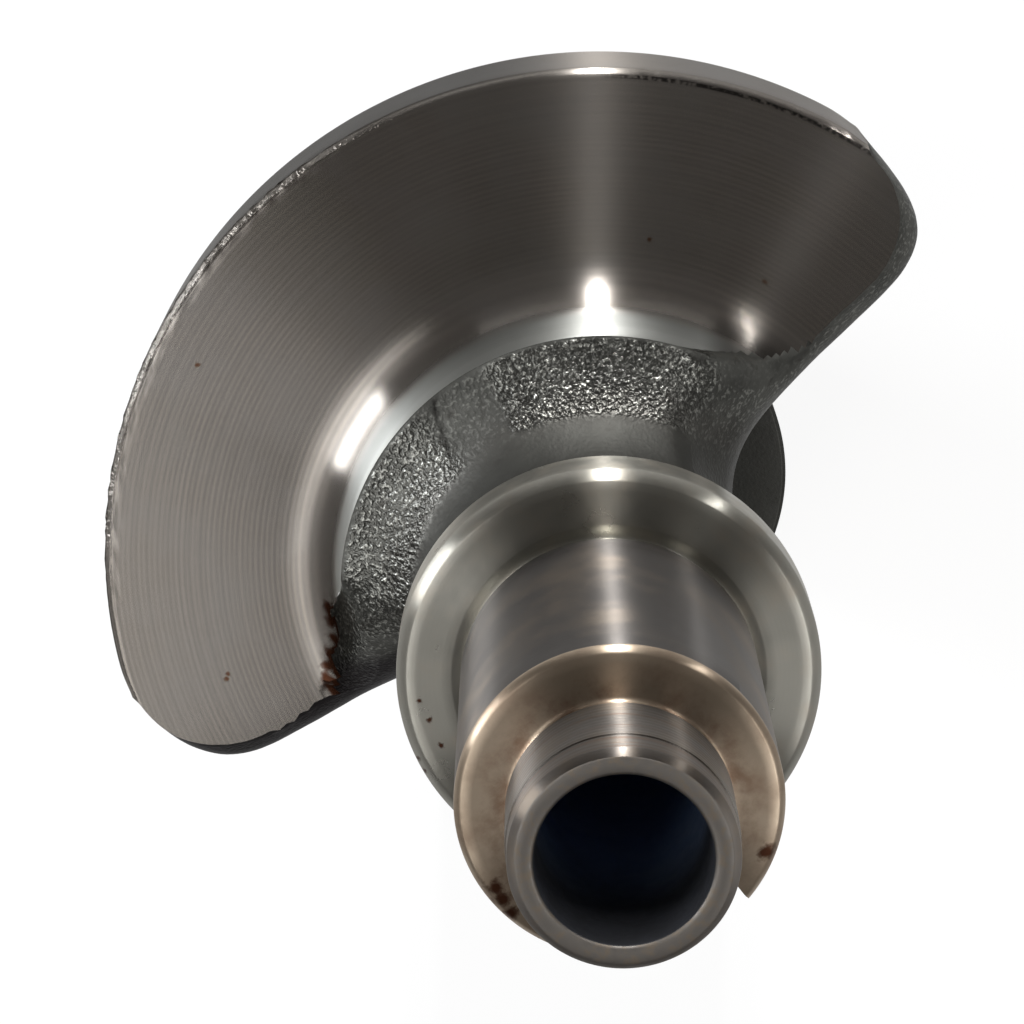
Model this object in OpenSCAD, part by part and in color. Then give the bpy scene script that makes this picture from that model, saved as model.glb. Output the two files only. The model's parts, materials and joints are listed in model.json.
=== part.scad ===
// Balance shaft of a small engine: one steel forging, turned on its journals, collars, rim and faces.
// The shaft stands on its rear end, with its axis along Z, its counterweight on +Y and its keyway on -Y.

/* [Front spigot] */
// Diameter of the hollow spigot at the front end
spigot_d = 13.8; // [12:0.1:15]
// Length of the spigot in front of the gear seat
spigot_len = 9.5; // [7:0.5:14]
// Length of the smaller lead at the end of the spigot
lead_len = 2.6; // [1.5:0.1:4]
// How much smaller the lead is than the spigot, on the diameter
lead_drop = 0.2; // [0.2:0.1:0.6]
// Chamfer round the end of the spigot
spigot_chamfer = 0.5; // [0.2:0.1:0.8]
// Diameter of the bore in the spigot
bore_d = 10.4; // [8:0.1:11]
// Depth of the bore from the front end
bore_depth = 34; // [20:1:40]
// Chamfer at the mouth of the bore
bore_chamfer = 0.2; // [0.2:0.1:0.6]
// Diameter of the smaller drilling that goes on from the bore
pilot_d = 7; // [4:0.5:7.5]
// Length of the smaller drilling, without its point
pilot_len = 8; // [4:1:14]

/* [Gear seat] */
// Diameter of the front journal that carries the gear and the bearing
seat_d = 20; // [18:0.5:24]
// Length of the front journal
seat_len = 25.3; // [18:0.1:34]
// Chamfer on the front edge of the journal
seat_chamfer = 0.4; // [0.2:0.1:0.8]
// Width of the keyway
key_w = 5; // [3:0.5:6]
// Depth of the keyway below the journal
key_depth = 3; // [2:0.25:3]
// Length of the keyway from the front shoulder, with its round end
key_len = 15; // [8:0.5:17]
// Width of the relief groove at the foot of each journal
relief_w = 1.2; // [0.6:0.1:2]
// Depth of the relief groove
relief_depth = 0.35; // [0.2:0.05:0.6]
// How far the relief groove rises up the collar beside it
relief_rise = 0.6; // [0.3:0.1:0.9]
// How deep the relief groove cuts into the collar's face
relief_face = 0.2; // [0.1:0.05:0.4]

/* [Collars] */
// Diameter of the front collar
collar_d = 28.7; // [26:0.1:36]
// Width of the front collar
collar_w = 4.4; // [3:0.1:8]
// Diameter of the rear collar
rear_collar_d = 32; // [29:0.1:38]
// Width of the rear collar
rear_collar_w = 4.75; // [3:0.25:8]
// Chamfer on the outer face of each collar
collar_chamfer = 0.7; // [0.3:0.1:1]
// Chamfer on the inner face of each collar
collar_back_chamfer = 0.3; // [0.2:0.1:0.6]

/* [Neck] */
// Diameter of the forged neck between the collars
neck_d = 21.5; // [20:0.5:26]
// Length of the plain neck behind the front collar
front_neck_len = 7.75; // [5:0.25:16]
// Length of the plain neck in front of the rear collar
rear_neck_len = 0.5; // [0.5:0.25:8]

/* [Counterweight] */
// Diameter of the turned rim
rim_d = 74.6; // [71:0.2:84]
// Thickness of the web between its turned faces
web_w = 10; // [8:0.5:14]
// Chamfer on both edges of the rim
rim_chamfer = 0.4; // [0.2:0.1:0.8]
// Width across the two forged ends of the web
cheek_w = 69.8; // [62:0.2:71]
// Angle of each forged flat from the middle of the counterweight
flat_angle = 82.8; // [74:0.2:86]
// Distance of each flat past the shaft's axis
flat_offset = 1; // [0.5:0.1:3]
// How far the rounding of a flat would run on past the turned faces
edge_stock = 1.4; // [0.2:0.1:2.5]
// Radius of the corners between the flats and the ends
corner_r = 7.5; // [3:0.5:9]
// Diameter of the turned boss on each face
boss_d = 38.2; // [34:0.2:44]
// Height of the boss over the web's face
boss_h = 7.6; // [5.5:0.1:9]
// Radius of the turned fillet at the foot of the boss
boss_fillet = 4.5; // [2:0.5:5]
// How far the rounding of the boss would run on past its top
boss_stock = 1.4; // [0.8:0.1:3]
// Radius of the hollow between each flat and the neck
root_r = 7; // [4:0.5:9]

/* [Rear end] */
// Diameter of the rear journal
rear_d = 25; // [20:0.5:28]
// Length of the rear journal
rear_len = 18; // [12:0.5:30]
// Chamfer on the rear end
rear_chamfer = 1; // [0.4:0.1:1.5]
// Diameter of the lathe centre in the rear end, at its mouth
centre_d = 5; // [3:0.1:8]
// Diameter of the drilled bottom of the lathe centre
centre_drill_d = 2; // [1:0.5:2.5]
// Depth of the drilled bottom below the cone
centre_drill_len = 2.5; // [1:0.5:4]

/* [Hidden] */
$fn = 96;

steel = "#8f8c86";
forged_steel = "#5c5d58";

// Cuts and joins run this far past the faces that they meet
over = 0.5;
// An arc is this much larger than its radius, so that it crosses the faces it blends and doesn't only touch them
cross = 0.02;
// A forged outline stands this far outside the rounded flats that trim it
outline_stock = 0.2;
// Half the angle of a drill's point, and of a lathe centre
drill_half_angle = 59;
centre_half_angle = 30;

seat_r = seat_d / 2;
neck_r = neck_d / 2;
collar_r = collar_d / 2;
rear_collar_r = rear_collar_d / 2;
rear_r = rear_d / 2;
spigot_r = spigot_d / 2;
lead_r = spigot_r - lead_drop / 2;
bore_r = bore_d / 2;
pilot_r = pilot_d / 2;
rim_r = rim_d / 2;
boss_r = boss_d / 2;

// Heights over the middle of the web
face_z = web_w / 2;
boss_z = face_z + boss_h;
flare_r = boss_r - neck_r;
flare_z = boss_z + flare_r;

// Heights over the rear end
rear_collar_z = rear_len;
rear_neck_z = rear_collar_z + rear_collar_w;
web_z = rear_neck_z + rear_neck_len + flare_z;
collar_z = web_z + flare_z + front_neck_len;
seat_z = collar_z + collar_w;
shoulder_z = seat_z + seat_len;
front_z = shoulder_z + spigot_len;

// Slope of the flats, and the direction that each one faces on the +X side
flat_slope = 90 - flat_angle;
flat_normal = [sin(flat_slope), -cos(flat_slope)];
flat_along = [cos(flat_slope), sin(flat_slope)];
edge_r = face_z + edge_stock;
flank_r = boss_z + boss_stock;
flank_top_inset = flank_r - sqrt(flank_r * flank_r - boss_z * boss_z);

module both_sides() {
    children();
    mirror([1, 0, 0]) children();
}

// Half section of the shaft from its rear end to its front end, without the counterweight
module shaft_section() {
    polygon([
        [0, 0],
        [rear_r - rear_chamfer, 0],
        [rear_r, rear_chamfer],
        [rear_r, rear_collar_z - relief_w],
        [rear_r - relief_depth, rear_collar_z - relief_w + relief_depth],
        [rear_r - relief_depth, rear_collar_z + relief_face],
        [rear_r, rear_collar_z + relief_face],
        [rear_r + relief_rise, rear_collar_z],
        [rear_collar_r - collar_chamfer, rear_collar_z],
        [rear_collar_r, rear_collar_z + collar_chamfer],
        [rear_collar_r, rear_neck_z - collar_back_chamfer],
        [rear_collar_r - collar_back_chamfer, rear_neck_z],
        [neck_r, rear_neck_z],
        [neck_r, collar_z],
        [collar_r - collar_back_chamfer, collar_z],
        [collar_r, collar_z + collar_back_chamfer],
        [collar_r, seat_z - collar_chamfer],
        [collar_r - collar_chamfer, seat_z],
        [seat_r + relief_rise, seat_z],
        [seat_r, seat_z - relief_face],
        [seat_r - relief_depth, seat_z - relief_face],
        [seat_r - relief_depth, seat_z + relief_w - relief_depth],
        [seat_r, seat_z + relief_w],
        [seat_r, shoulder_z - seat_chamfer],
        [seat_r - seat_chamfer, shoulder_z],
        [spigot_r - relief_depth, shoulder_z],
        [spigot_r - relief_depth, shoulder_z + relief_w - relief_depth],
        [spigot_r, shoulder_z + relief_w],
        [spigot_r, front_z - lead_len],
        [lead_r, front_z - lead_len],
        [lead_r, front_z - spigot_chamfer],
        [lead_r - spigot_chamfer, front_z],
        [0, front_z]
    ]);
}

// Stepped drilling in the front end, with a chamfered mouth and a drill's point
module front_drilling() {
    bore_floor = front_z - bore_depth;
    pilot_floor = bore_floor - pilot_len;
    rotate_extrude() polygon([
        [0, front_z + over],
        [bore_r + bore_chamfer + over, front_z + over],
        [bore_r, front_z - bore_chamfer],
        [bore_r, bore_floor],
        [pilot_r, bore_floor - (bore_r - pilot_r) / tan(drill_half_angle)],
        [pilot_r, pilot_floor],
        [0, pilot_floor - pilot_r / tan(drill_half_angle)]
    ]);
}

// Lathe centre in the rear end
module rear_centre() {
    mouth_r = centre_d / 2;
    drill_r = centre_drill_d / 2;
    cone_z = (mouth_r - drill_r) / tan(centre_half_angle);
    drill_z = cone_z + centre_drill_len;
    rotate_extrude() polygon([
        [0, -over],
        [mouth_r + over * tan(centre_half_angle), -over],
        [drill_r, cone_z],
        [drill_r, drill_z],
        [0, drill_z + drill_r / tan(drill_half_angle)]
    ]);
}

// Keyway in the gear seat, open at the shoulder and round at its inner end
module keyway() {
    floor_y = -(seat_r - key_depth);
    end_z = shoulder_z - key_len + key_w / 2;
    translate([-key_w / 2, floor_y - key_depth - over, end_z])
        cube([key_w, key_depth + over, shoulder_z - end_z + over]);
    translate([0, floor_y, end_z]) rotate([90, 0, 0])
        cylinder(d = key_w, h = key_depth + over);
}

// Half section of the boss on both faces: its foot fillet, its turned side and the forged flare to the neck
module boss_section() {
    square_half(boss_r, boss_z);
    difference() {
        square_half(boss_r + boss_fillet, face_z + boss_fillet);
        at_both_heights(face_z + boss_fillet)
            translate([boss_r + boss_fillet, 0]) circle(r = boss_fillet + cross);
    }
    difference() {
        square_half(boss_r, flare_z);
        at_both_heights(flare_z)
            translate([boss_r, 0]) circle(r = flare_r + cross);
    }
}

module square_half(r, z) {
    translate([0, -z]) square([r, 2 * z]);
}

module at_both_heights(z) {
    translate([0, z]) children();
    translate([0, -z]) children();
}

// A long bar along the flat on the +X side, whose end section is drawn as outward distance and height
module along_flat() {
    rotate([0, 0, -flat_angle]) rotate([90, 0, 0])
        linear_extrude(height = 3 * rim_r, center = true) children();
}

// Section of a forged flank: round at the flat, and square where the turned faces cut it
module flank_section(round_r, block_inset, block_z) {
    translate([flat_offset - round_r, 0]) circle(r = round_r);
    translate([-2 * rim_r, -block_z])
        square([2 * rim_r + flat_offset - block_inset, 2 * block_z]);
}

// Web of the counterweight: a turned disc, trimmed to the forged outline and to its rounded flats
module web() {
    color(forged_steel) intersection() {
        rotate_extrude() polygon([
            [0, -face_z],
            [rim_r - rim_chamfer, -face_z],
            [rim_r, rim_chamfer - face_z],
            [rim_r, face_z - rim_chamfer],
            [rim_r - rim_chamfer, face_z],
            [0, face_z]
        ]);
        linear_extrude(height = web_w + 2 * over, center = true) web_outline();
        along_flat() web_flank_section();
        mirror([1, 0, 0]) along_flat() web_flank_section();
    }
}

module web_flank_section() {
    flank_section(edge_r, edge_r, face_z + edge_stock / 2);
}

// Forged outline of the web: two flats, two square ends and a round corner between them
module web_outline() {
    side_x = cheek_w / 2;
    reach = flat_offset + outline_stock;
    corner_x = side_x - corner_r;
    corner_y = (corner_x * sin(flat_slope) - reach + corner_r) / cos(flat_slope);
    foot = [corner_x, corner_y] + corner_r * flat_normal;
    both_sides() {
        translate([corner_x, corner_y]) circle(r = corner_r + cross);
        polygon([
            [-over, -reach / cos(flat_slope)],
            [0, -reach / cos(flat_slope)],
            foot,
            [side_x, corner_y],
            [side_x, rim_r],
            [-over, rim_r]
        ]);
    }
}

// Boss on both faces of the web, with its flanks rounded back from the flats
module boss() {
    color(forged_steel) intersection() {
        rotate_extrude() boss_section();
        along_flat() boss_flank_section();
        mirror([1, 0, 0]) along_flat() boss_flank_section();
    }
}

module boss_flank_section() {
    flank_section(flank_r, flank_top_inset, flare_z + over);
}

// Hollow that blends one flat of the web into the neck, tapered off towards both faces
module flat_root() {
    centre_in = flat_offset + root_r;
    centre_out = sqrt(pow(neck_r + root_r, 2) - centre_in * centre_in);
    centre = centre_in * flat_normal + centre_out * flat_along;
    neck_foot = centre * neck_r / (neck_r + root_r);
    flat_foot = flat_offset * flat_normal + centre_out * flat_along;
    intersection() {
        linear_extrude(height = 2 * boss_z, center = true) difference() {
            polygon([[0, 0], neck_foot, centre, flat_foot]);
            translate(centre) circle(r = root_r + cross);
        }
        rotate_extrude() polygon([
            [0, -face_z - neck_r / 2],
            [neck_r, -face_z],
            [norm(flat_foot) + over, 0],
            [neck_r, face_z],
            [0, face_z + neck_r / 2]
        ]);
    }
}

// The whole forging, with everything that is turned, drilled and milled into it
module balance_shaft() {
    difference() {
        union() {
            color(steel) rotate_extrude() shaft_section();
            translate([0, 0, web_z]) {
                web();
                boss();
                color(forged_steel) both_sides() flat_root();
            }
        }
        color(steel) front_drilling();
        color(steel) rear_centre();
        color(steel) keyway();
    }
}

balance_shaft();
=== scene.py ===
"""Looks of an engine's balance shaft: one steel forging with turned journals, collars and counterweight.

One closed mesh stands for the solid. It has the solid's sizes, and adds the rounded forged skin, the feed
ridges, the broken and chipped edges, and the finish of each surface.
"""

import json
import math
from types import SimpleNamespace

import bmesh
import bpy
import numpy as np
from bpy.props import FloatProperty, FloatVectorProperty, IntProperty, PointerProperty
from mathutils import Matrix, Vector
from mathutils.geometry import delaunay_2d_cdt


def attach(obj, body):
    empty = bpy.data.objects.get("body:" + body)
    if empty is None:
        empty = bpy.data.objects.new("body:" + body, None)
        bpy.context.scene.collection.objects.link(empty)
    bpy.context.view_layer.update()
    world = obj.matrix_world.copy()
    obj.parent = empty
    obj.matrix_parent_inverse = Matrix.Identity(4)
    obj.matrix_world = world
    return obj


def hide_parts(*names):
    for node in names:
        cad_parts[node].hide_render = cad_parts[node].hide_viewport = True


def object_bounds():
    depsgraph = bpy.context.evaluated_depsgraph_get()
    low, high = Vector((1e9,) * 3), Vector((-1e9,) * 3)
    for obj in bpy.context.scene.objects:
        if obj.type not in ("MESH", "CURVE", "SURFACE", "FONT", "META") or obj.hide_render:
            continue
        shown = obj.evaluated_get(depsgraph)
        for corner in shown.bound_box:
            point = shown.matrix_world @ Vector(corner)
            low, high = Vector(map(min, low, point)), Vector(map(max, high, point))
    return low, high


bl_info = {
    "name": "Balance shaft",
    "version": (1, 0, 0),
    "blender": (4, 5, 0),
    "location": "View3D > Sidebar > Balance shaft",
    "description": "Dresses the solid of a forged and turned balance shaft",
    "category": "Object",
}

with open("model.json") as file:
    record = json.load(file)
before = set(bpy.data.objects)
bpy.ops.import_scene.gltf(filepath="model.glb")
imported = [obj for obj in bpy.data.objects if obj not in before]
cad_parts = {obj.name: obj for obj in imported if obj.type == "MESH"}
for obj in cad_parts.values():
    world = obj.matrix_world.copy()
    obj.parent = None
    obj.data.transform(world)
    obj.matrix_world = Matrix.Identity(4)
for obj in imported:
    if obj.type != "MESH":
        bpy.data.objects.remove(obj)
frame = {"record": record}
CAD_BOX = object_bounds()
MOUNTS = {mount["name"]: mount for mount in frame["record"]["mounts"]}

NODE = "balance_shaft"
PIECE = "shaft_forging"
MM = 0.001

# Finishes of the surface, in the order of the material list
TURNED, GROUND, COLLAR, FORGED, SPIGOT, BORE, SHOULDER, LIP = range(8)

# Columns of the mesh in half the counterweight, in half the open side, and in half the keyway
SECTOR_COLUMNS = 84
OPEN_COLUMNS = 52
KEY_COLUMNS = 8

# Rows of the open side, and steps in the table of a flank's outline
OPEN_ROWS = 52
OUTLINE_STEPS = 500

DRILL_HALF_ANGLE = math.radians(59)
CENTRE_HALF_ANGLE = math.radians(30)
SOFT_TURN = math.radians(14)
SHARP_TURN = math.radians(60)
SHARP_EDGE = math.radians(38)

# Most of an edge that a broken corner takes, and how clear of a border points stay, as a share of spacing
BREAK_SHARE = 0.3
CLEAR_SHARE = 0.6

# Feed ridge: shares of its pitch, each with a share of its depth
RIDGE = ((0.35, 1.0), (0.7, 0.3), (1.0, 0.0))

# Seeds of the fixed random runs
EDGE_SEED = 11
TEAR_SEED = 5
SKIN_SEED = 31
SKIN_ROW_SEED = 37
CHIP_SEED = 23
SEAM_SEED = 41

# Grain and rounding of the forged skin, as shares of their full strength
FRONT_NECK_GRAIN = 0.12
REAR_NECK_GRAIN = 0.3
OPEN_SIDE_GRAIN = 0.35
FLANK_GRAIN = 0.4
FLARE_GRAIN = 0.3
FLARE_END_LOSS = 0.22
RIGHT_PATCH_GRAIN = 0.7
LEFT_PATCH_GRAIN = 0.55
LEAST_GRAIN = 0.08
NECK_ROUNDING = 0.4
FLARE_ROUNDING = 0.5
LEAST_ROUNDING = 0.1

# Where the flare's grain changes, in degrees from the middle: no change yet, and the whole change
RIGHT_PATCH_START = (9, 13)
RIGHT_PATCH_END = (66, 58)
LEFT_PATCH_START = (-5, -11)
FLARE_END = (60, 66)
GRAIN_FADE_MM = 0.7

# Where the forged skin starts on the boss: millimetres over the face, and degrees from the middle
RIGHT_SKIN = ((0.1, 0.55, 1.4, 2.2, 2.8, 4.5, 7.6), (80.6, 79.0, 76.0, 72.0, 68.0, 63.0, 57.0))
LEFT_SKIN = ((0.05, 0.4, 1.1, 1.4, 3.0, 4.5, 7.6), (77.4, 74.4, 69.0, 61.0, 57.0, 54.0, 50.0))
SKIN_CLEAR_MM = 0.04
SKIN_TEAR_MM = 0.35
SKIN_FADE = 1.5
LEFT_SKIN_WANDER = 1.0
RIGHT_SKIN_WANDER = 0.1

# Torn edge of the left flat: distances from the boss's radius in millimetres
TEAR_FROM_MM = -1
TEAR_TO_MM = 9

# Chips of the rim: their reach, their range from proud to deep, and degrees from the middle
CHIP_REACH_MM = 0.6
CHIP_RANGE = (-0.3, 1)
LEFT_CHIPS_START = (-62, -50)
LEFT_CHIPS_END = (9, 3)
RIGHT_CHIPS_START = (30, 40)
RIGHT_CHIP_SHARE = 0.07
RIGHT_CHIP_DEPTH = 0.35

# Parting line: degrees at the boss's radius, its skew for each millimetre inwards, wander and width
SEAM_FOOT = -2.9
SEAM_SKEW = 1.46
SEAM_WANDER = 0.6
SEAM_WIDTH = 0.8
SEAM_WORN_MM = 3.3

# Fall of the rim at a forged end: its reach, and where it starts and is whole, inwards from the rim
END_REACH_MM = 1.5
END_START_MM = 2.0
END_WHOLE_MM = 0.5


def mount_radius(name):
    """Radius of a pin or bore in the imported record, in millimetres."""
    return MOUNTS[name]["dims"]["r_mm"]


def mount_height(name):
    """Height of a mount over the rear end, in metres."""
    return MOUNTS[name]["pos_m"][2]


def length(name, text, size_mm):
    """A length that the user can change, with its default in millimetres."""
    return FloatProperty(name=name, description=text, default=size_mm * MM, unit="LENGTH", precision=5)


def share(name, text, value):
    """A plain share from 0 to 1 that the user can change."""
    return FloatProperty(name=name, description=text, default=value, min=0.0, max=1.0, subtype="FACTOR")


def tone(name, text, colour):
    """A colour that the user can change."""
    return FloatVectorProperty(
        name=name, description=text, default=colour, size=3, min=0.0, max=1.0, subtype="COLOR"
    )


class TurnedSizes(bpy.types.PropertyGroup):
    """Sizes of what is turned, drilled and milled."""

    bore_r: length("Bore radius", "Radius of the bore in the spigot", mount_radius("spigot_bore"))
    bore_depth: length("Bore depth", "Depth of the bore from the front end", 34)
    bore_chamfer: length("Bore chamfer", "Chamfer at the mouth of the bore", 0.2)
    pilot_r: length("Pilot radius", "Radius of the drilling that goes on from the bore", 3.5)
    pilot_len: length("Pilot length", "Length of that drilling, without its point", 8)
    spigot_r: length("Spigot radius", "Radius of the front spigot", mount_radius("front_spigot"))
    spigot_len: length("Spigot length", "Length of the spigot in front of the shoulder", 9.5)
    spigot_chamfer: length("Spigot chamfer", "Chamfer round the end of the spigot", 0.5)
    lead_len: length("Lead length", "Length of the smaller lead of the spigot", 2.6)
    lead_drop: length("Lead drop", "How much smaller the lead's radius is", 0.1)
    seat_r: length("Seat radius", "Radius of the keyed front journal", mount_radius("gear_seat"))
    seat_chamfer: length("Seat chamfer", "Chamfer on the front edge of the journal", 0.4)
    key_w: length("Key width", "Width of the keyway", 5)
    key_depth: length("Key depth", "Depth of the keyway below the journal", 3)
    key_len: length("Key length", "Length of the keyway with its round end", 15)
    relief_w: length("Relief width", "Width of the relief groove at a journal's foot", 1.2)
    relief_depth: length("Relief depth", "Depth of the relief groove", 0.35)
    relief_rise: length("Relief rise", "How far the relief rises up the collar", 0.6)
    relief_face: length("Relief in face", "How deep the relief cuts into the collar", 0.2)
    collar_r: length("Collar radius", "Radius of the front collar", 14.35)
    collar_w: length("Collar width", "Width of the front collar", 4.4)
    rear_collar_r: length("Rear collar radius", "Radius of the rear collar", 16)
    rear_collar_w: length("Rear collar width", "Width of the rear collar", 4.75)
    collar_chamfer: length("Collar chamfer", "Chamfer on a collar's outer face", 0.7)
    collar_back_chamfer: length("Collar back chamfer", "Chamfer on a collar's inner face", 0.3)
    rear_r: length("Rear radius", "Radius of the rear journal", mount_radius("rear_journal"))
    rear_chamfer: length("Rear chamfer", "Chamfer on the rear end", 1)
    centre_r: length("Centre radius", "Radius of the lathe centre at its mouth", 2.5)
    centre_drill_r: length("Centre drill radius", "Radius of the lathe centre's drilling", 1)
    centre_drill_len: length("Centre drill length", "Depth of that drilling below the cone", 2.5)
    edge: length("Broken edge", "How far each turned corner is broken", 0.08)
    ridge_pitch: length("Ridge pitch", "Feed of the tool on the spigot", 0.5)
    ridge_depth: length("Ridge depth", "Height of the feed ridges on the spigot", 0.03)


class ForgedSizes(bpy.types.PropertyGroup):
    """Sizes of the forging: neck, flare, boss and counterweight."""

    neck_r: length("Neck radius", "Radius of the forged neck", 10.75)
    rear_neck_len: length("Rear neck length", "Length of the plain neck behind the flare", 0.5)
    rim_r: length("Rim radius", "Radius of the turned rim", CAD_BOX[1].y / MM)
    web_w: length("Web width", "Thickness of the web between its turned faces", 10)
    rim_chamfer: length("Rim chamfer", "Chamfer on both edges of the rim", 0.4)
    cheek: length("Cheek", "Distance of each forged end from the middle", CAD_BOX[1].x / MM)
    flat_angle: FloatProperty(
        name="Flat angle",
        description="Angle of each flat from the middle of the counterweight",
        default=math.radians(82.8),
        subtype="ANGLE",
    )
    flat_offset: length("Flat offset", "Distance of each flat past the axis", 1.15)
    flat_lean: length("Flat lean", "How much farther out the right flat stands than the left", 0.15)
    web_round: length("Web rounding", "Radius of the rounding of the web's flats", 6.4)
    hub_round: length("Hub rounding", "Radius of the rounding of the boss's flanks", 14)
    corner_r: length("Corner radius", "Radius between a flat and an end", 5)
    corner_lean: length("Corner lean", "How much rounder the left corner is than the mean", 0.4)
    corner_rise: length("Corner rise", "How much rounder a corner is at the turned faces", 2)
    end_round: length("End rounding", "Radius of the edges of the forged ends", 1.6)
    end_inset: length("End inset", "How far that rounding reaches down the ends", 0.9)
    boss_r: length("Boss radius", "Radius of the turned boss", 19.1)
    boss_h: length("Boss height", "Height of the boss over the web", 7.6)
    boss_fillet: length("Boss fillet", "Radius of the fillet at the foot of the boss", 4.5)
    root_r: length("Root radius", "Radius of the hollow between a flat and the neck", 7)
    patch: length("Flank spacing", "Spacing of the points on the forged flanks", 0.5)
    wobble: length("Edge wobble", "How far the turned edge wanders over the forged skin", 0.1)
    jag: length("Torn edge", "How far the edge wanders where the tool tore it", 0.45)
    end_fall: length("End fall", "How far the rim falls away at a forged end", 0.2)
    chip: length("Chip depth", "Depth of the chips along the rim's edge", 0.12)
    grain_top: length("Grain height", "How far the coarse grain reaches up the flare", 2.3)
    seam: length("Seam depth", "Depth of the forging's parting line", 0.08)


class SkinRelief(bpy.types.PropertyGroup):
    """Relief of the forged skin."""

    rounding: IntProperty(name="Rounding", description="Passes that round the forged edges", default=60)
    swell_size: length("Swell size", "Size of the slow waves in the skin", 4)
    swell_depth: length("Swell depth", "Depth of the slow waves", 0.12)
    grain_size: length("Grain size", "Size of the shot-blasted grain", 0.8)
    grain_depth: length("Grain depth", "Depth of the grain", 0.12)
    seed: FloatProperty(name="Seed", description="Fixed seed of the relief", default=4.0)


class FinishColours(bpy.types.PropertyGroup):
    """Colours of the steel's finishes."""

    turned: tone("Turned steel", "Turned face, fillet and rim", (0.208, 0.195, 0.181))
    # The foot tone is lighter than the turned steel: a painted reflection on the coarser ring
    foot: tone("Foot of the boss", "Coarser ring at the foot of the boss", (0.29, 0.295, 0.28))
    ground: tone("Ground steel", "Journals", (0.088, 0.082, 0.077))
    collar: tone("Collar steel", "Collars and their chamfers", (0.24, 0.232, 0.205))
    forged: tone("Forged skin", "Shot-blasted skin", (0.085, 0.085, 0.078))
    # Dark of the skin's pits, also used as painted shade on the rim and towards the neck
    pits: tone("Pits", "Bottom of the skin's pits", (0.035, 0.032, 0.029))
    scale: tone("Forge scale", "Black scale on the left flat", (0.012, 0.01, 0.011))
    spigot: tone("Spigot steel", "Spigot with its feed ridges", (0.118, 0.108, 0.098))
    bore: tone("Bore", "Dark oil film in the bore", (0.026, 0.027, 0.031))
    # Painted light: a brighter blue than the bore, put deep in the bore
    painted_deep_bore_light: tone("Bore end", "Blued steel deep in the bore", (0.16, 0.22, 0.36))
    tan: tone("Oil tint", "Dried oil on the shoulder", (0.28, 0.226, 0.17))
    brown: tone("Old oil", "Thicker dried oil", (0.10, 0.052, 0.03))
    rust: tone("Rust", "Rust in corners and nicks", (0.045, 0.018, 0.01))


class StageSizes(bpy.types.PropertyGroup):
    """Camera, light and floor."""

    lens_mm: FloatProperty(
        name="Lens", description="Focal length for a 36 mm sensor", default=119.53, unit="CAMERA"
    )
    camera_place: FloatVectorProperty(
        name="Camera place",
        description="Where the camera stands",
        default=(0.03778, 0.05864, 0.29538),
        subtype="TRANSLATION",
    )
    camera_right: FloatVectorProperty(
        name="Camera right",
        description="Right of the picture",
        default=(0.79084, -0.61203, -0.00236),
        subtype="DIRECTION",
    )
    camera_up: FloatVectorProperty(
        name="Camera up",
        description="Top of the picture",
        default=(0.59099, 0.76464, -0.25703),
        subtype="DIRECTION",
    )
    floor_size: FloatProperty(name="Floor", description="Width of the floor", default=4.0, unit="LENGTH")
    floor_white: share("Floor whiteness", "How much of the floor is seen as plain white", 0.75)
    floor_tone: tone("Floor tone", "Pale floor", (0.88, 0.88, 0.875))
    world_tone: tone("Surroundings", "Even light from all round", (0.22, 0.215, 0.21))


class ShaftSettings(bpy.types.PropertyGroup):
    """Everything that the panel lists."""

    turned: PointerProperty(type=TurnedSizes)
    forged: PointerProperty(type=ForgedSizes)
    skin: PointerProperty(type=SkinRelief)
    colours: PointerProperty(type=FinishColours)
    stage: PointerProperty(type=StageSizes)


# Outline of the shaft


def ramp(value, start, stop):
    """0 up to start, 1 from stop on, and straight between them."""
    return np.clip((value - start) / (stop - start), 0, 1)


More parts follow.
